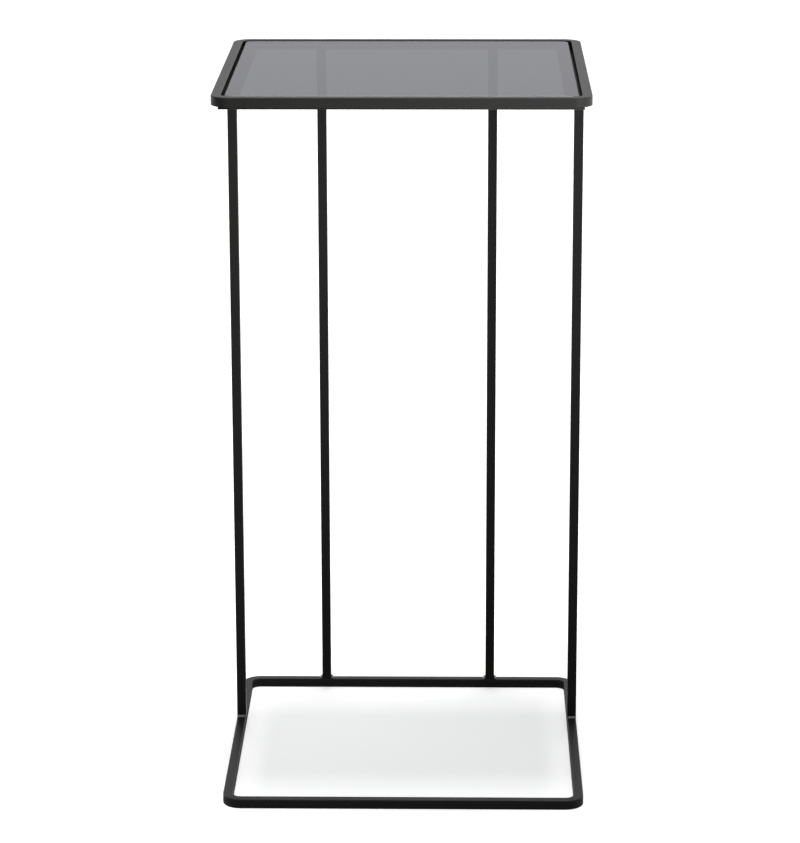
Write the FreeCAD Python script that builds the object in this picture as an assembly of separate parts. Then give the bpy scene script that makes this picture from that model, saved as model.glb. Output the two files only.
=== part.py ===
import FreeCAD, Part
import math
import os

# Accent table: a C-shaped frame of square steel bar that carries a loose glass top.
# Lengths are in millimetres. The origin lies on the floor under the middle of the table.
# +X points to the right, +Y to the back and +Z up. The open side of the frame faces -Y.

# Overall sizes, over the outer faces of the bar
table_width = 320.0
table_depth = 320.0
table_height = 635.0

# Square bar of the rings and the legs, with the rounded edges that rolling leaves
bar_side = 8.5
bar_edge_radius = 0.7
bend_inner_radius = 8.0

# Centre lines of the legs, from the middle of the table
back_leg_from_middle = 79.5
side_leg_behind_middle = 51.0

# Flat strips that are welded under the top ring and form the ledge for the glass
strip_width = 22.0
strip_thickness = 1.5
strip_behind_ring_face = 0.5
strip_end_from_ring_face = 7.0

# Fillet welds at both ends of each leg, measured along the two faces that they join
weld_leg_length = 3.0
weld_throat = 1.7

# Clear pads on the corners of the ledge
pad_diameter = 9.5
pad_thickness = 4.0
pad_edge_radius = 0.4
pad_centre_from_glass_edge = 5.5

# Glass top, dropped into the top ring
glass_thickness = 4.0
glass_to_ring_gap = 3.0
glass_corner_radius = 6.0
glass_arris = 0.6

# Heights that follow from the stack of pieces
top_ring_bottom = table_height - bar_side
strip_bottom = top_ring_bottom - strip_thickness
leg_length = strip_bottom - bar_side
glass_bottom = top_ring_bottom + pad_thickness

# Places that follow from the rings
rail_centre_x = table_width / 2 - bar_side / 2
rail_centre_y = table_depth / 2 - bar_side / 2
glass_width = table_width - 2 * (bar_side + glass_to_ring_gap)
glass_depth = table_depth - 2 * (bar_side + glass_to_ring_gap)

# Each leg: centre in X, centre in Y, and the turn of the rail that it stands on
leg_places = {
    "left_side_leg": (-rail_centre_x, side_leg_behind_middle, 90),
    "right_side_leg": (rail_centre_x, side_leg_behind_middle, 90),
    "left_back_leg": (-back_leg_from_middle, rail_centre_y, 0),
    "right_back_leg": (back_leg_from_middle, rail_centre_y, 0),
}

up = FreeCAD.Vector(0, 0, 1)
sideways = FreeCAD.Vector(1, 0, 0)
middle = FreeCAD.Vector(0, 0, 0)


def is_upright(edge):
    """True for a straight edge that runs parallel to Z."""
    ends = edge.Vertexes
    return len(ends) == 2 and abs(ends[0].X - ends[1].X) + abs(ends[0].Y - ends[1].Y) < edge.Length / 2


def block(size_x, size_y, size_z):
    """Box that is centred on the Z axis and stands on the plane Z = 0."""
    corner = FreeCAD.Vector(-size_x / 2, -size_y / 2, 0)
    return Part.makeBox(size_x, size_y, size_z, corner)


def rounded_block(size_x, size_y, size_z, radius):
    """Centred box with its four upright edges rounded."""
    plain = block(size_x, size_y, size_z)
    return plain.makeFillet(radius, [edge for edge in plain.Edges if is_upright(edge)])


def ring():
    """Square bar bent into a closed ring with four round corners, lying on Z = 0."""
    outside = rounded_block(table_width, table_depth, bar_side, bend_inner_radius + bar_side)
    hole_width = table_width - 2 * bar_side
    hole_depth = table_depth - 2 * bar_side
    inside = rounded_block(hole_width, hole_depth, bar_side, bend_inner_radius)
    sharp = outside.cut(inside)
    rims = [edge for edge in sharp.Edges if not is_upright(edge)]
    return sharp.makeFillet(bar_edge_radius, rims)


def placed(shape, x, y, z):
    """Copy of a shape, moved to its place."""
    moved = shape.copy()
    moved.translate(FreeCAD.Vector(x, y, z))
    return moved


def leg(x, y):
    """Straight bar that stands on the base ring and ends under a ledge strip."""
    upright = rounded_block(bar_side, bar_side, leg_length, bar_edge_radius)
    return placed(upright, x, y, bar_side)


def weld_bead():
    """Fillet weld with a hollow face, in the corner of the planes X = 0 and Z = 0."""
    throat_point = weld_throat / math.sqrt(2)
    toe_on_rail = FreeCAD.Vector(weld_leg_length, 0, 0)
    toe_on_leg = FreeCAD.Vector(0, 0, weld_leg_length)
    hollow = FreeCAD.Vector(throat_point, 0, throat_point)
    outline = Part.Wire([
        Part.LineSegment(middle, toe_on_rail).toShape(),
        Part.Arc(toe_on_rail, hollow, toe_on_leg).toShape(),
        Part.LineSegment(toe_on_leg, middle).toShape(),
    ])
    bead_length = bar_side - 2 * bar_edge_radius
    bead = Part.Face(outline).extrude(FreeCAD.Vector(0, bead_length, 0))
    bead.translate(FreeCAD.Vector(0, -bead_length / 2, 0))
    return bead


def leg_welds(x, y, turn, z, at_head):
    """The two beads at one end of a leg, one on each side of it along its rail."""
    beads = []
    for side_turn in (0, 180):
        bead = weld_bead()
        if at_head:
            bead.rotate(middle, sideways, 180)
        bead.translate(FreeCAD.Vector(bar_side / 2, 0, 0))
        bead.rotate(middle, up, side_turn + turn)
        beads.append(placed(bead, x, y, z))
    return Part.makeCompound(beads)


def cross_strip():
    """Ledge strip along the front or back rail, in the middle of the table."""
    return block(table_width - 2 * strip_end_from_ring_face, strip_width, strip_thickness)


def side_strip():
    """Ledge strip along a side rail, fitted between the front and back strips."""
    length = table_depth - 2 * (strip_behind_ring_face + strip_width)
    return block(strip_width, length, strip_thickness)


def pad():
    """Round clear pad, stuck to the ledge with its rounded rim upwards."""
    radius = pad_diameter / 2
    disc = Part.makeCylinder(radius, pad_thickness)
    top_rim = [edge for edge in disc.Edges if edge.BoundBox.ZMin > pad_thickness / 2]
    return disc.makeFillet(pad_edge_radius, top_rim)


def glass_pane():
    """Flat pane with rounded corners and a small flat arris round both faces."""
    pane = rounded_block(glass_width, glass_depth, glass_thickness, glass_corner_radius)
    rims = [edge for edge in pane.Edges if not is_upright(edge)]
    return pane.makeChamfer(glass_arris, rims)


def build():
    """All pieces of the table by name, each in its place."""
    pieces = {}
    pieces["base_ring"] = ring()
    pieces["top_ring"] = placed(ring(), 0, 0, top_ring_bottom)

    for name, (x, y, turn) in leg_places.items():
        pieces[name] = leg(x, y)
        pieces[name + "_foot_welds"] = leg_welds(x, y, turn, bar_side, at_head=False)
        pieces[name + "_head_welds"] = leg_welds(x, y, turn, strip_bottom, at_head=True)

    strip_from_face = strip_behind_ring_face + strip_width / 2
    strip_x = table_width / 2 - strip_from_face
    strip_y = table_depth / 2 - strip_from_face
    for name, side in (("front", -1), ("back", 1)):
        pieces[name + "_ledge_strip"] = placed(cross_strip(), 0, side * strip_y, strip_bottom)
    for name, side in (("left", -1), ("right", 1)):
        pieces[name + "_ledge_strip"] = placed(side_strip(), side * strip_x, 0, strip_bottom)

    pad_x = glass_width / 2 - pad_centre_from_glass_edge
    pad_y = glass_depth / 2 - pad_centre_from_glass_edge
    for row, side_y in (("front", -1), ("back", 1)):
        for column, side_x in (("left", -1), ("right", 1)):
            name = "glass_pad_" + row + "_" + column
            pieces[name] = placed(pad(), side_x * pad_x, side_y * pad_y, top_ring_bottom)

    pieces["glass_top"] = placed(glass_pane(), 0, 0, glass_bottom)
    return pieces


def save(pieces):
    """One STEP file for each piece, named after it."""
    os.makedirs("parts", exist_ok=True)
    for name, shape in pieces.items():
        shape.exportStep(os.path.join("parts", name + ".step"))
        print(name, "solids", len(shape.Solids), "volume", round(shape.Volume, 1))


save(build())
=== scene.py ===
# %% [markdown]
# # An accent table of black steel bar and smoked glass
#
# The real table is a welded frame of square steel bar. Two rings of the same size lie above
# each other, joined by four upright legs at the back and the sides, so that the front is open.
# Flat strips under the top ring form a ledge, and a pane of smoked glass lies loose on it.
#
# The measured pieces come in as a fixed frame. Each piece is modelled again on top of its
# measured twin, with the details that the eye looks for: soft bar edges, rippled weld beads,
# a ground arris on the glass, and a fine grain in the black coat.

import math

import bmesh
import bpy
from mathutils import Matrix, Vector


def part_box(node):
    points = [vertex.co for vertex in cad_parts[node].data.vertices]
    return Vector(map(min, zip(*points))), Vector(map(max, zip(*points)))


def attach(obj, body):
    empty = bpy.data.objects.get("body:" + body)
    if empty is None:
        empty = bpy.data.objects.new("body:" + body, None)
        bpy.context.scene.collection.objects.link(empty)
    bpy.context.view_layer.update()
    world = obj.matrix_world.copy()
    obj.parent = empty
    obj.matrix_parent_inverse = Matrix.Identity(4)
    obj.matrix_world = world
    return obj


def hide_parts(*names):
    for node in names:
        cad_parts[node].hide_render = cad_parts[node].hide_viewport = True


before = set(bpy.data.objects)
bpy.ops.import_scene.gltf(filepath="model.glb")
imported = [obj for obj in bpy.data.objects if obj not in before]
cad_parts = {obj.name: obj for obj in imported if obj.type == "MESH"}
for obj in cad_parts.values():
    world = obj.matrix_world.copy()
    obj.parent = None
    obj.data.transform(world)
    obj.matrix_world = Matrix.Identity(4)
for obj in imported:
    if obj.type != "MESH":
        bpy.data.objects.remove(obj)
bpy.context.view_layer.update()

# %% [markdown]
# ## Sizes
#
# A maker reads most sizes from the drawing. Here they are read from the measured pieces, so
# a change there carries over. Only the small sizes that a box can't tell, such as the
# rounding of an edge, are listed here, in millimetres.

# %% Read the sizes
MM = 0.001

base_low, base_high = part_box("base_ring")
top_low, top_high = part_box("top_ring")
glass_low, glass_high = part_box("glass_top")

bar_side = base_high.z - base_low.z
ring_size = base_high - base_low
bend_inner_radius = 8 * MM
bar_edge_radius = 0.7 * MM

print("bar", round(bar_side / MM, 2), "mm, ring", round(ring_size.x / MM, 1), "mm wide")

# %% [markdown]
# ## Helpers for working by hand
#
# Modelling by hand is always the same round: take one piece, choose some of its faces or
# edges, and use a tool on them. With no window to click in, the choosing is done by a test
# on each element's place. Everything is deselected first, because a tool acts on all that is
# selected, and the measured pieces come in selected. A finished piece gets one material all
# over, and a second one can then be put on chosen faces.


# %% Helpers for selecting and finishing
def deselect_all():
    """Object mode with nothing selected."""
    if bpy.context.mode != "OBJECT":
        bpy.ops.object.mode_set(mode="OBJECT")
    bpy.ops.object.select_all(action="DESELECT")


def pick(piece):
    """Object mode with one piece alone selected and active."""
    deselect_all()
    piece.select_set(True)
    bpy.context.view_layer.objects.active = piece


def edit(piece, element="FACE"):
    """Edit mode on one piece alone, ready to choose faces, edges or vertices."""
    pick(piece)
    bpy.ops.object.mode_set(mode="EDIT")
    bpy.ops.mesh.select_mode(type=element)


def choose(piece, element, test):
    """Selects the elements that pass a test, and says how many there are."""
    bpy.ops.mesh.select_mode(type=element)
    bpy.ops.mesh.select_all(action="DESELECT")
    mesh = bmesh.from_edit_mesh(piece.data)
    elements = {"VERT": mesh.verts, "EDGE": mesh.edges, "FACE": mesh.faces}[element]
    chosen = [part for part in elements if test(part)]
    for part in chosen:
        part.select_set(True)
    bmesh.update_edit_mesh(piece.data)
    return len(chosen)


def use_modifier(piece, kind, settings=None):
    """Adds a modifier to a piece, gives it its settings by name and applies it."""
    pick(piece)
    bpy.ops.object.modifier_add(type=kind)
    modifier = piece.modifiers[0]
    for key, value in (settings or {}).items():
        setattr(modifier, key, value)
    bpy.ops.object.modifier_apply(modifier=modifier.name)


def finish_piece(piece, name, body, material, replaced):
    """Puts a piece's place into its mesh, names it, dresses it and lets it ride on a body."""
    pick(piece)
    bpy.ops.object.transform_apply(location=True, rotation=True, scale=True)
    piece.name = name
    piece.data.name = name
    piece.data.materials.clear()
    piece.data.materials.append(material)
    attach(piece, body)
    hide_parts(*replaced)
    print(name, len(piece.data.polygons), "faces")


def dress_faces(piece, material, test):
    """Puts one more material on the faces that pass a test."""
    piece.data.materials.append(material)
    edit(piece)
    faces = choose(piece, "FACE", test)
    piece.active_material_index = len(piece.data.materials) - 1
    bpy.ops.object.material_slot_assign()
    deselect_all()
    print(piece.name, "has", faces, "faces of", material.name)


# %% [markdown]
# ## Camera
#
# The photograph was taken from a little above the table with a long lens. Its place and lens
# follow from lining up the table's straight edges with the picture. A long lens keeps the
# upright legs almost parallel.

# %% Place the camera
camera_place = Vector((0.0484, -2.8338, 1.0972))
camera_turn = math.radians(1.0707)
camera_pitch = math.radians(15.4967)
camera_roll = math.radians(-0.1402)
camera_lens = 138.66

bpy.ops.object.camera_add()
camera = bpy.context.object
camera.name = "Camera"
turned = Matrix.Rotation(camera_turn, 4, "Z")
pitched = Matrix.Rotation(math.pi / 2 - camera_pitch, 4, "X")
rolled = Matrix.Rotation(camera_roll, 4, "Z")
camera.matrix_world = Matrix.Translation(camera_place) @ turned @ pitched @ rolled
camera.data.lens = camera_lens
bpy.context.scene.camera = camera
print("camera height above the floor", camera_place.z, "m")

# %% [markdown]
# ## Colours and nodes
#
# Colours are written as the hex values that a colour picker shows on screen. A shader works
# in linear light, so one function converts them. One more function adds a node with its
# settings and its links, because every material is a small chain of nodes. Some inputs share
# a name and are reached by number: a Mix node keeps its two colours in inputs 6 and 7.


# %% Helpers for materials
def linear_colour(hex_value):
    """A screen colour such as 1a1b1c as linear red, green, blue and alpha."""
    channels = [int(hex_value[i:i + 2], 16) / 255 for i in (0, 2, 4)]
    linear = [c / 12.92 if c <= 0.04045 else ((c + 0.055) / 1.055) ** 2.4 for c in channels]
    return (*linear, 1.0)


def add_node(tree, kind, settings=None, **links):
    """Adds a node with settings and links by name. A link called _2 goes to input number 2."""
    node = tree.nodes.new(kind)
    for key, value in (settings or {}).items():
        if hasattr(node, key):
            setattr(node, key, value)
        else:
            node.inputs[key].default_value = value
    for key, source in links.items():
        socket = node.inputs[int(key[1:])] if key[0] == "_" else node.inputs[key.replace("_", " ")]
        tree.links.new(source, socket)
    return node


def new_material(name):
    """An empty material and its node tree, with the output node ready."""
    material = bpy.data.materials.new(name)
    material.use_nodes = True
    material.node_tree.nodes.clear()
    output = material.node_tree.nodes.new("ShaderNodeOutputMaterial")
    return material, material.node_tree, output


# %% [markdown]
# ## Black powder coat
#
# The bar is mild steel with a baked polyester powder coat. The powder melts into a skin
# about 0.08 mm thick, with a fine pebbled grain and long shallow waves like orange peel.
# It is a plastic, so it has no metal shine: it is nearly black from the front, and turns
# pale where the eye grazes it. The skin thins a little on the bar's edges, and hands and
# cloths polish the upper rims, so a soft line of light runs along them. The charged powder
# is drawn to the outside of a ring, so its inner faces get a thin dull skin that mirrors
# little. The sides of the base ring get a dull coat too, with a greyer colour that is painted
# light, to lift their tone. On a weld the powder pools in the ripples and melts smoother, so
# a bead glints. The flat bar of the ledge gets a darker colour, which is painted shade for
# the shadow under the ring's bar.

# %% Powder coat material
bar_shades = ("0f0f0f", "1b1b1a")
# The ledge strips get a darker colour: painted shade for the shadow under the ring's bar.
painted_shade_strip_shades = ("0a0a0a", "141413")
# The base ring's sides get a greyer colour: painted light that lifts their tone.
painted_light_base_shades = ("131313", "222221")
powder_thin = "2e2e2c"
powder_grain = 0.55 * MM
grain_detail = 3.0
pebble_depth = 0.015 * MM
pebble_strength = 0.25
powder_wave = 3.5 * MM
wave_detail = 2.0
peel_depth = 0.05 * MM
peel_strength = 0.2
edge_reach = 1.1 * MM
edge_samples = 6
edge_starts = 0.99
edge_is_full = 0.88
grain_low = 0.3
grain_high = 0.7
plastic_ior = 1.5


def powder_coat(name, shades, smoothest, roughest, straight_gloss):
    """Fine satin black powder coat on steel, thinner along the edges.

    The straight gloss is the share of a plastic's mirror shine that is left face on.
    """
    darkest, lightest = shades
    tint = (straight_gloss, straight_gloss, straight_gloss, 1.0)
    material, tree, output = new_material(name)
    place = add_node(tree, "ShaderNodeTexCoord").outputs["Object"]
    grain = add_node(tree, "ShaderNodeTexNoise",
                     {"Scale": 1 / powder_grain, "Detail": grain_detail}, Vector=place)
    wave = add_node(tree, "ShaderNodeTexNoise",
                    {"Scale": 1 / powder_wave, "Detail": wave_detail}, Vector=place)
    coat = add_node(tree, "ShaderNodeMix", {"data_type": "RGBA"}, _0=grain.outputs["Fac"])
    coat.inputs[6].default_value = linear_colour(darkest)
    coat.inputs[7].default_value = linear_colour(lightest)

    true_normal = add_node(tree, "ShaderNodeNewGeometry").outputs["Normal"]
    soft_normal = add_node(tree, "ShaderNodeBevel", {"samples": edge_samples, "Radius": edge_reach})
    likeness = add_node(tree, "ShaderNodeVectorMath", {"operation": "DOT_PRODUCT"},
                        _0=true_normal, _1=soft_normal.outputs["Normal"])
    edge = add_node(tree, "ShaderNodeMapRange",
                    {"From Min": edge_starts, "From Max": edge_is_full, "To Min": 0.0, "To Max": 1.0},
                    Value=likeness.outputs["Value"])
    patches = add_node(tree, "ShaderNodeMath", {"operation": "MULTIPLY"},
                       _0=edge.outputs["Result"], _1=wave.outputs["Fac"])
    colour = add_node(tree, "ShaderNodeMix", {"data_type": "RGBA"},
                      _0=patches.outputs[0], _6=coat.outputs[2])
    colour.inputs[7].default_value = linear_colour(powder_thin)

    rough = add_node(
        tree, "ShaderNodeMapRange",
        {"From Min": grain_low, "From Max": grain_high, "To Min": smoothest, "To Max": roughest},
        Value=grain.outputs["Fac"],
    )
    peel = add_node(tree, "ShaderNodeBump", {"Strength": peel_strength, "Distance": peel_depth},
                    Height=wave.outputs["Fac"])
    pebble = add_node(tree, "ShaderNodeBump", {"Strength": pebble_strength, "Distance": pebble_depth},
                      Height=grain.outputs["Fac"], Normal=peel.outputs["Normal"])
    shader = add_node(
        tree, "ShaderNodeBsdfPrincipled", {"IOR": plastic_ior, "Specular Tint": tint},
        Base_Color=colour.outputs[2], Roughness=rough.outputs["Result"],
        Normal=pebble.outputs["Normal"],
    )
    tree.links.new(shader.outputs["BSDF"], output.inputs["Surface"])
    return material


satin = {"smoothest": 0.33, "roughest": 0.41, "straight_gloss": 0.04}
polished = {"smoothest": 0.30, "roughest": 0.38, "straight_gloss": 0.3}
dull = {"smoothest": 0.64, "roughest": 0.76, "straight_gloss": 0.03}
flat_bar = {"smoothest": 0.34, "roughest": 0.42, "straight_gloss": 0.03}
melted = {"smoothest": 0.20, "roughest": 0.30, "straight_gloss": 1.0}

bar_coat = powder_coat("powder_coated_bar", bar_shades, **satin)
rim_coat = powder_coat("powder_coated_worn_rim", bar_shades, **polished)
inside_coat = powder_coat("powder_coated_inside", bar_shades, **dull)
# The dull coat on the base ring's sides is greyer: painted light.
dull_painted_light_coat = powder_coat("powder_coated_dull_painted_light", painted_light_base_shades, **dull)
# The ledge strip coat is darker: painted shade.
painted_shade_strip_coat = powder_coat("powder_coated_strip_painted_shade", painted_shade_strip_shades, **flat_bar)
weld_coat = powder_coat("powder_coated_weld", bar_shades, **melted)
for coat in (bar_coat, rim_coat, inside_coat, dull_painted_light_coat, painted_shade_strip_coat, weld_coat):
    print("material", coat.name)

# %% [markdown]
# ## Smoked glass
#
# Grey float glass is tinted right through, so its colour deepens with the way that light
# takes inside it. An absorbing volume does that by itself: the pane stays see-through from
# above and turns dark where the eye looks along it. Its faces are fire polished, with a
# faint smear. A fine grinding belt leaves the arris round its rims silky, so it blurs what
# lies behind it and shows as a soft pale line from some sides.

# %% Glass materials
smoke_colour = "99a2a4"
smoke_density = 780.0
clean_glass = "f4f5f5"
glass_ior = 1.52
smear_size = 60 * MM
belt_grit = 0.3 * MM
patch_detail = 4.0
patch_low = 0.35
patch_high = 0.75


def tinted_glass(name, patch_size, smoothest, roughest, clearness):
    """Grey glass that absorbs light along its path, with a surface that varies in patches."""
    material, tree, output = new_material(name)
    place = add_node(tree, "ShaderNodeTexCoord").outputs["Object"]
    patches = add_node(tree, "ShaderNodeTexNoise",
                       {"Scale": 1 / patch_size, "Detail": patch_detail}, Vector=place)
    rough = add_node(
        tree, "ShaderNodeMapRange",
        {"From Min": patch_low, "From Max": patch_high, "To Min": smoothest, "To Max": roughest},
        Value=patches.outputs["Fac"],
    )
    shader = add_node(
        tree, "ShaderNodeBsdfPrincipled",
        {"Base Color": linear_colour(clean_glass), "IOR": glass_ior, "Transmission Weight": clearness},
        Roughness=rough.outputs["Result"],
    )
    smoke = add_node(
        tree, "ShaderNodeVolumeAbsorption",
        {"Color": linear_colour(smoke_colour), "Density": smoke_density},
    )
    tree.links.new(shader.outputs["BSDF"], output.inputs["Surface"])
    tree.links.new(smoke.outputs["Volume"], output.inputs["Volume"])
    return material


fire_polish = {"smoothest": 0.0, "roughest": 0.025, "clearness": 1.0}
belt_finish = {"smoothest": 0.30, "roughest": 0.48, "clearness": 0.95}

polished_glass = tinted_glass("smoked_float_glass", smear_size, **fire_polish)
ground_glass = tinted_glass("smoked_glass_arris", belt_grit, **belt_finish)
print("materials", polished_glass.name, ground_glass.name)

# %% [markdown]
# ## Clear bumper pads
#
# The pads are soft polyurethane, cast as little clear domes with a glue film below. Cast
# plastic is not as clear as glass: it is faintly milky and a little rough.

# %% Clear pad material
pad_colour = "e9ecec"
pad_ior = 1.49
pad_clearness = 0.85
pad_cloud = 2 * MM
cloud_detail = 2.0
pad_smoothest = 0.12
pad_roughest = 0.26


def clear_pad():
    """Soft clear polyurethane."""
    material, tree, output = new_material("cast_polyurethane")
    place = add_node(tree, "ShaderNodeTexCoord").outputs["Object"]
    cloud = add_node(tree, "ShaderNodeTexNoise",
                     {"Scale": 1 / pad_cloud, "Detail": cloud_detail}, Vector=place)
    rough = add_node(
        tree, "ShaderNodeMapRange",
        {"From Min": grain_low, "From Max": grain_high, "To Min": pad_smoothest, "To Max": pad_roughest},
        Value=cloud.outputs["Fac"],
    )
    shader = add_node(
        tree, "ShaderNodeBsdfPrincipled",
        {"Base Color": linear_colour(pad_colour), "IOR": pad_ior, "Transmission Weight": pad_clearness},
        Roughness=rough.outputs["Result"],
    )
    tree.links.new(shader.outputs["BSDF"], output.inputs["Surface"])
    return material


pad_plastic = clear_pad()
print("material", pad_plastic.name)

# %% [markdown]
# ## The two rings
#
# A bender turns one length of bar round four corners, and the ends are butt welded and
# ground flush. By hand the quickest way is flat: a plane gets its corners rounded, an inset
# of one bar's width leaves the frame of the ring, and the flat frame is extruded downwards.
# The four long rims are then bevelled, as rolling rounds a bar's edges. The faces of the two
# upper bevels get the polished coat, the sides of the base ring the dull one with painted
# light, and the sides of the top ring that look inwards the dull one.

# %% Model a ring
corner_steps = 16
edge_steps = 4
round_profile = 0.5
right_angle_or_so = math.radians(60)
upright_slope = 0.05
level_slope = 0.99


def weigh_normals(piece):
    """Smooth shading that keeps the broad faces flat beside their narrow bevels."""
    pick(piece)
    bpy.ops.object.shade_smooth()
    use_modifier(piece, "WEIGHTED_NORMAL")


def round_rims(piece, radius, steps):
    """Bevels the edges where two faces meet at about a right angle."""
    rims = choose(
        piece, "EDGE",
        lambda edge: edge.is_manifold and edge.calc_face_angle() > right_angle_or_so,
    )
    bpy.ops.mesh.bevel(offset=radius, segments=steps, profile=round_profile)
    return rims


def model_ring(low, high):
    """A square bar bent into a closed ring, in the place of its measured box."""
    size = high - low
    bpy.ops.mesh.primitive_plane_add(size=size.x, location=(0, 0, high.z))
    ring = bpy.context.object
    edit(ring)
    bpy.ops.mesh.select_all(action="SELECT")
    bpy.ops.transform.resize(value=(1, size.y / size.x, 1))
    bend_outer_radius = bend_inner_radius + bar_side
    bpy.ops.mesh.bevel(affect="VERTICES", offset=bend_outer_radius, segments=corner_steps)
    bpy.ops.mesh.select_all(action="SELECT")
    bpy.ops.mesh.inset(thickness=bar_side, use_even_offset=True)
    bpy.ops.mesh.delete(type="FACE")
    bpy.ops.mesh.select_all(action="SELECT")
    bpy.ops.mesh.extrude_region_move(TRANSFORM_OT_translate={"value": (0, 0, -size.z)})
    bpy.ops.mesh.select_all(action="SELECT")
    bpy.ops.mesh.normals_make_consistent(inside=False)
    rims = round_rims(ring, bar_edge_radius, edge_steps)
    weigh_normals(ring)
    print("ring with", rims, "edges along its rims")
    return ring


def is_upper_rim(face):
    """True for a face of an upper bevel."""
    return upright_slope < face.normal.z < level_slope


def is_side(face):
    """True for a face of the upright sides."""
    return abs(face.normal.z) < upright_slope


def is_inner_side(face):
    """True for an upright face that looks at the middle of the ring."""
    return is_side(face) and face.normal.dot(face.calc_center_median()) < 0


# The base ring's sides take the greyer colour, which is painted light.
dull_sides = {"base_ring": (dull_painted_light_coat, is_side), "top_ring": (inside_coat, is_inner_side)}

for node, (low, high) in {"base_ring": (base_low, base_high), "top_ring": (top_low, top_high)}.items():
    ring = model_ring(low, high)
    finish_piece(ring, node + "_bar", "frame", bar_coat, [node])
    dress_faces(ring, rim_coat, is_upper_rim)
    dress_faces(ring, *dull_sides[node])

# %% [markdown]
# ## The four legs
#
# A leg is a straight length of the same bar, sawn square. A cube is stretched to the leg's
# measured size and its four upright edges get the bar's rounding. The sawn ends stay sharp.

# %% Model the legs
leg_nodes = ["left_side_leg", "right_side_leg", "left_back_leg", "right_back_leg"]
upright_share = 0.9


def model_block(low, high):
    """A cube stretched to a measured box, left in edit mode."""
    bpy.ops.mesh.primitive_cube_add(size=1, location=(low + high) / 2)
    piece = bpy.context.object
    edit(piece)
    bpy.ops.mesh.select_all(action="SELECT")
    bpy.ops.transform.resize(value=high - low)
    return piece


def is_upright(edge):
    """True for an edge that runs parallel to Z."""
    first, second = edge.verts
    return abs(first.co.z - second.co.z) > upright_share * edge.calc_length()


for node in leg_nodes:
    leg = model_block(*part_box(node))
    choose(leg, "EDGE", is_upright)
    bpy.ops.mesh.bevel(offset=bar_edge_radius, segments=edge_steps, profile=round_profile)
    weigh_normals(leg)
    finish_piece(leg, node + "_bar", "frame", bar_coat, [node])

# %% [markdown]
# ## Weld beads
#
# Each leg is welded on the two sides where a fillet fits, along the rail. A hand weld is a
# row of small pools, one on the edge of the other, which freeze as ripples. The profile is
# an arrowhead: two flats against the steel, and a hollow face. It is extruded one ripple at
# a time, swelling and shrinking, and a subdivision surface melts it together, as the powder
# coat does. One bead is modelled, and copied to every place.

# %% Model one weld bead
weld_run = 3.3 * MM
weld_rise = 2.9 * MM
weld_throat_share = 0.42
weld_sink = 0.15 * MM
ripple_count = 7
ripple_swell = 1.06
weld_end_taper = 0.80
melt_levels = 2


def model_bead(length):
    """A rippled fillet weld in the corner of the planes X = 0 and Z = 0, along Y."""
    corner = (0, 0, 0)
    bpy.ops.mesh.primitive_plane_add(size=1, location=(0.5, -length / 2, 0.5), rotation=(math.pi / 2, 0, 0))
    bead = bpy.context.object
    bpy.ops.object.transform_apply(location=True, rotation=True, scale=True)
    edit(bead, "VERT")
    choose(bead, "VERT", lambda vert: vert.co.x > 0.5 and vert.co.z > 0.5)
    pull = weld_throat_share - 1
    bpy.ops.transform.translate(value=(pull, 0, pull))
    bpy.ops.mesh.select_all(action="SELECT")
    bpy.ops.transform.resize(value=(weld_run, 1, weld_rise), center_override=corner)
    choose(bead, "FACE", lambda face: True)
    bpy.ops.transform.resize(value=(weld_end_taper, 1, weld_end_taper), center_override=corner)
    steps = 2 * ripple_count
    size_now = weld_end_taper
    for step in range(1, steps + 1):
        size_next = weld_end_taper if step == steps else (ripple_swell if step % 2 else 1.0)
        grow = size_next / size_now
        bpy.ops.mesh.extrude_region_move(TRANSFORM_OT_translate={"value": (0, length / steps, 0)})
        bpy.ops.transform.resize(value=(grow, 1, grow), center_override=corner)
        size_now = size_next
    bpy.ops.mesh.select_all(action="SELECT")
    bpy.ops.mesh.normals_make_consistent(inside=False)
    bpy.ops.transform.translate(value=(-weld_sink, 0, -weld_sink))
    use_modifier(bead, "SUBSURF", {"levels": melt_levels, "render_levels": melt_levels})
    bpy.ops.object.shade_smooth()
    return bead


def copy_of(piece):
    """A copy with its own mesh."""
    double = piece.copy()
    double.data = piece.data.copy()
    bpy.context.scene.collection.objects.link(double)
    return double


def join(pieces):
    """One object from several, made from their own meshes."""
    deselect_all()
    for piece in pieces:
        piece.select_set(True)
    bpy.context.view_layer.objects.active = pieces[0]
    bpy.ops.object.join()
    return pieces[0]


first_bead = model_bead(bar_side)
for node in leg_nodes:
    leg_low, leg_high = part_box(node)
    middle = (leg_low + leg_high) / 2
    rail_turn = math.pi / 2 if "side" in node else 0
    for end, height in (("_foot_welds", leg_low.z), ("_head_welds", leg_high.z)):
        flip = math.pi if "head" in end else 0
        pair = []
        for side_turn in (0, math.pi):
            bead = copy_of(first_bead)
            outwards = Matrix.Translation((bar_side / 2, 0, 0)) @ Matrix.Rotation(flip, 4, "X")
            turned = Matrix.Rotation(rail_turn + side_turn, 4, "Z")
            bead.matrix_world = Matrix.Translation((middle.x, middle.y, height)) @ turned @ outwards
            pair.append(bead)
        beads = join(pair)
        finish_piece(beads, node + end + "_beads", "frame", weld_coat, [node + end])
bpy.data.objects.remove(first_bead)

# %% [markdown]
# ## Ledge strips
#
# The ledge is flat bar, spot welded to the underside of the ring. A spot welder's tip leaves
# a shallow round dish at each weld. The strip is a stretched cube with its edges broken, and
# flattened spheres, placed along it, cut the dishes.

# %% Model the ledge strips
strip_edge_radius = 0.25 * MM
strip_edge_steps = 2
strip_smooth_angle = math.radians(30)
spot_radius = 2.4 * MM
spot_depth = 0.3 * MM
spot_pitch = 55 * MM
spot_segments = 24
ring_half = ring_size / 2


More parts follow.
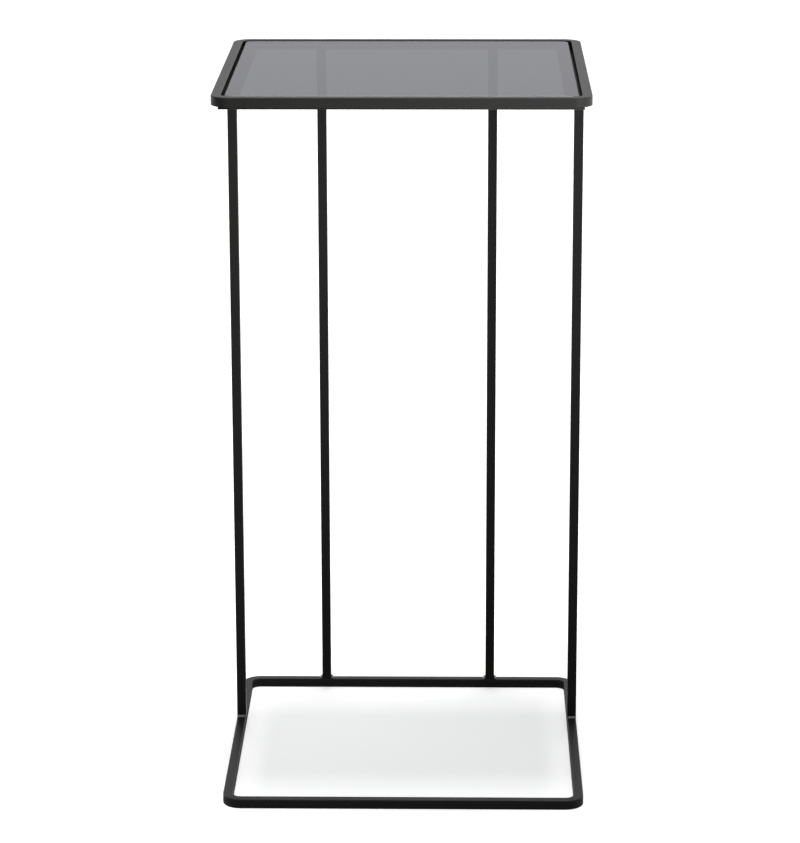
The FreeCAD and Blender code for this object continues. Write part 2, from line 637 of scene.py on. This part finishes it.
def cut_spots(strip, low, high, along, across):
    """Cuts a row of shallow dishes into a strip's underside, under the bar of the ring."""
    length = high[along] - low[along]
    count = int(length / spot_pitch)
    bar_line = math.copysign(ring_half[across] - bar_side / 2, low[across])
    dishes = []
    for number in range(count):
        place = Vector((0, 0, low.z))
        place[along] = low[along] + length * (number + 0.5) / count
        place[across] = bar_line
        bpy.ops.mesh.primitive_uv_sphere_add(
            segments=spot_segments, ring_count=spot_segments // 2, radius=spot_radius, location=place,
        )
        dish = bpy.context.object
        bpy.ops.object.transform_apply(location=False, rotation=False, scale=True)
        edit(dish)
        bpy.ops.mesh.select_all(action="SELECT")
        bpy.ops.transform.resize(value=(1, 1, spot_depth / spot_radius), center_override=place)
        deselect_all()
        dishes.append(dish)
    cutter = join(dishes)
    use_modifier(strip, "BOOLEAN", {"object": cutter, "operation": "DIFFERENCE"})
    bpy.data.objects.remove(cutter)
    return count


for side in ("front", "back", "left", "right"):
    node = side + "_ledge_strip"
    low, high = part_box(node)
    strip = model_block(low, high)
    round_rims(strip, strip_edge_radius, strip_edge_steps)
    deselect_all()
    along, across = (0, 1) if side in ("front", "back") else (1, 0)
    spots = cut_spots(strip, low, high, along, across)
    bpy.ops.object.shade_smooth_by_angle(angle=strip_smooth_angle)
    print(side, "strip with", spots, "spot welds")
    # The strip takes the darker colour, which is painted shade.
    finish_piece(strip, node + "_bar", "frame", painted_shade_strip_coat, [node])

# %% [markdown]
# ## Bumper pads
#
# A pad is a low clear dome, pressed flat on top by the glass. A cylinder gets its top rim
# bevelled wide, which leaves the flat that the glass lies on.

# %% Model the pads
pad_rim_round = 0.9 * MM
pad_rim_steps = 5
pad_steps = 48
pad_smooth_angle = math.radians(40)

for row in ("front", "back"):
    for column in ("left", "right"):
        node = "glass_pad_" + row + "_" + column
        low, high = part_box(node)
        bpy.ops.mesh.primitive_cylinder_add(
            vertices=pad_steps, radius=(high.x - low.x) / 2, depth=high.z - low.z,
            location=(low + high) / 2,
        )
        pad = bpy.context.object
        edit(pad)
        choose(pad, "EDGE", lambda edge: all(vert.co.z > 0 for vert in edge.verts))
        bpy.ops.mesh.bevel(offset=pad_rim_round, segments=pad_rim_steps, profile=round_profile)
        pick(pad)
        bpy.ops.object.shade_smooth_by_angle(angle=pad_smooth_angle)
        finish_piece(pad, node + "_dome", "frame", pad_plastic, [node])

# %% [markdown]
# ## The glass top
#
# The pane is cut from float glass, its corners are ground round, and a belt takes the
# sharpness off both rims, which leaves a narrow flat arris. So the bevel here has a single
# step, and the facets that it makes are chosen by their slope and get the ground material.

# %% Model the glass
glass_corner_radius = 6 * MM
glass_corner_steps = 12
glass_arris = 0.6 * MM
glass_smooth_angle = math.radians(20)
arris_least_slope = 0.5
arris_most_slope = 0.9


def is_arris(face):
    """True for a facet that slopes halfway between upright and level."""
    return arris_least_slope < abs(face.normal.z) < arris_most_slope


pane_size = glass_high - glass_low
bpy.ops.mesh.primitive_plane_add(size=pane_size.x, location=(0, 0, glass_high.z))
pane = bpy.context.object
edit(pane)
bpy.ops.mesh.select_all(action="SELECT")
bpy.ops.transform.resize(value=(1, pane_size.y / pane_size.x, 1))
bpy.ops.mesh.bevel(affect="VERTICES", offset=glass_corner_radius, segments=glass_corner_steps)
bpy.ops.mesh.select_all(action="SELECT")
bpy.ops.mesh.extrude_region_move(TRANSFORM_OT_translate={"value": (0, 0, -pane_size.z)})
bpy.ops.mesh.select_all(action="SELECT")
bpy.ops.mesh.normals_make_consistent(inside=False)
round_rims(pane, glass_arris, steps=1)
pick(pane)
bpy.ops.object.shade_smooth_by_angle(angle=glass_smooth_angle)
finish_piece(pane, "glass_pane", "glass", polished_glass, ["glass_top"])
dress_faces(pane, ground_glass, is_arris)

# %% [markdown]
# ## Floor and background
#
# The picture shows the table on plain white. The floor is a large plane. To the eye it is a
# paler paint with a glow, so that open floor reads as white while a shadow on it stays
# visible. Mirrors get a share of that glow, and the light that the floor throws on the table
# is that of a plain pale floor. The world above it is white at the horizon and turns pale
# grey higher up, as a studio wall does, and that grey is what the glass mirrors. Its levels
# run from 0 at the horizon to 1 straight overhead. There it is bright, like the light panel
# of a studio ceiling, which the welds catch.

# %% Make the floor and the world
floor_size = 16
floor_colour = "dcdcdc"
floor_pale = "e6e6e6"
floor_glow = 0.42
floor_in_mirrors = 0.2
wall_shades = ((0.08, "ffffff"), (0.14, "d0d0d5"), (0.18, "d0d0d5"), (0.26, "d4d4d4"))
panel_starts = 0.88
panel_is_full = 0.92
panel_strength = 5.0
studio_light = "e8e8e8"
studio_strength = 0.6


def seen_directly(tree, in_mirrors):
    """1 for rays from the eye and through glass, a share for mirrored rays, and 0 for the rest."""
    path = add_node(tree, "ShaderNodeLightPath")
    by_eye = path.outputs["Is Camera Ray"]
    straight = add_node(tree, "ShaderNodeMath", {"operation": "MAXIMUM"},
                        _0=by_eye, _1=path.outputs["Is Transmission Ray"])
    mirrored = add_node(tree, "ShaderNodeMath", {"operation": "MULTIPLY"},
                        _0=path.outputs["Is Glossy Ray"])
    mirrored.inputs[1].default_value = in_mirrors
    both = add_node(tree, "ShaderNodeMath", {"operation": "MAXIMUM"},
                    _0=straight.outputs[0], _1=mirrored.outputs[0])
    return both.outputs[0], by_eye


def floor_material():
    """Matt pale floor that reads as white where nothing shades it."""
    material, tree, output = new_material("studio_floor")
    seen, by_eye = seen_directly(tree, floor_in_mirrors)
    paint = add_node(tree, "ShaderNodeMix", {"data_type": "RGBA"}, _0=by_eye)
    paint.inputs[6].default_value = linear_colour(floor_colour)
    paint.inputs[7].default_value = linear_colour(floor_pale)
    lit = add_node(tree, "ShaderNodeBsdfDiffuse", Color=paint.outputs[2])
    strength = add_node(tree, "ShaderNodeMath", {"operation": "MULTIPLY"}, _0=seen)
    strength.inputs[1].default_value = floor_glow
    glow = add_node(tree, "ShaderNodeEmission", Strength=strength.outputs[0])
    both = add_node(tree, "ShaderNodeAddShader", _0=lit.outputs[0], _1=glow.outputs[0])
    tree.links.new(both.outputs[0], output.inputs["Surface"])
    return material


bpy.ops.mesh.primitive_plane_add(size=floor_size)
floor = bpy.context.object
floor.name = "floor"
floor.data.materials.append(floor_material())

world = bpy.data.worlds.new("studio")
bpy.context.scene.world = world
world.use_nodes = True
tree = world.node_tree
tree.nodes.clear()
direction = add_node(tree, "ShaderNodeTexCoord").outputs["Generated"]
height = add_node(tree, "ShaderNodeSeparateXYZ", _0=direction).outputs["Z"]
wall = add_node(tree, "ShaderNodeValToRGB", _0=height)
stops = wall.color_ramp.elements
for number, (level, shade) in enumerate(wall_shades):
    stop = stops[number] if number < len(stops) else stops.new(level)
    stop.position = level
    stop.color = linear_colour(shade)
panel = add_node(
    tree, "ShaderNodeMapRange",
    {"From Min": panel_starts, "From Max": panel_is_full, "To Min": 1.0, "To Max": panel_strength},
    Value=height,
)
seen = add_node(tree, "ShaderNodeBackground", Color=wall.outputs["Color"], Strength=panel.outputs["Result"])
light = add_node(tree, "ShaderNodeBackground",
                 {"Color": linear_colour(studio_light), "Strength": studio_strength})
looked_at, _ = seen_directly(tree, in_mirrors=1.0)
choice = add_node(tree, "ShaderNodeMixShader", _0=looked_at, _1=light.outputs[0], _2=seen.outputs[0])
add_node(tree, "ShaderNodeOutputWorld", _0=choice.outputs[0])
print("world ready")

# %% [markdown]
# ## Lamps
#
# A long lamp hangs high overhead, and the glass top shades its light from the floor, with
# soft edges. The ceiling panel above stands for it in mirrors. A small softbox at the height
# of the top, at the front right, lights the upper ends of the legs and lets their feet go
# dark. It is hidden from mirrors too, so that no white square shows in the glass from behind.

# %% Place the lamps
overhead_height = 12.0
overhead_width = 1.6
overhead_depth = 3.6
overhead_power = 1270
softbox_power = 4.3
softbox_size = 0.35
softbox_spread = math.radians(75)
softbox_place = Vector((0.42, -0.57, 0.62))
softbox_aim = Vector((0.05, -0.16, 0.62))

bpy.ops.object.light_add(type="AREA", location=(0, 0, overhead_height))
overhead = bpy.context.object
overhead.name = "overhead_lamp"
overhead.data.shape = "RECTANGLE"
overhead.data.size = overhead_width
overhead.data.size_y = overhead_depth
overhead.data.energy = overhead_power
overhead.visible_glossy = False

bpy.ops.object.light_add(type="AREA", location=softbox_place)
softbox = bpy.context.object
softbox.name = "front_right_softbox"
softbox.data.shape = "SQUARE"
softbox.data.size = softbox_size
softbox.data.energy = softbox_power
softbox.data.spread = softbox_spread
softbox.visible_glossy = False
softbox.visible_transmission = False
softbox.rotation_euler = (softbox_aim - softbox_place).to_track_quat("-Z", "Y").to_euler()
print("lamps:", overhead.name, softbox.name)
bpy.context.scene.view_settings.view_transform = "Standard"

# %% Finish with nothing selected
deselect_all()
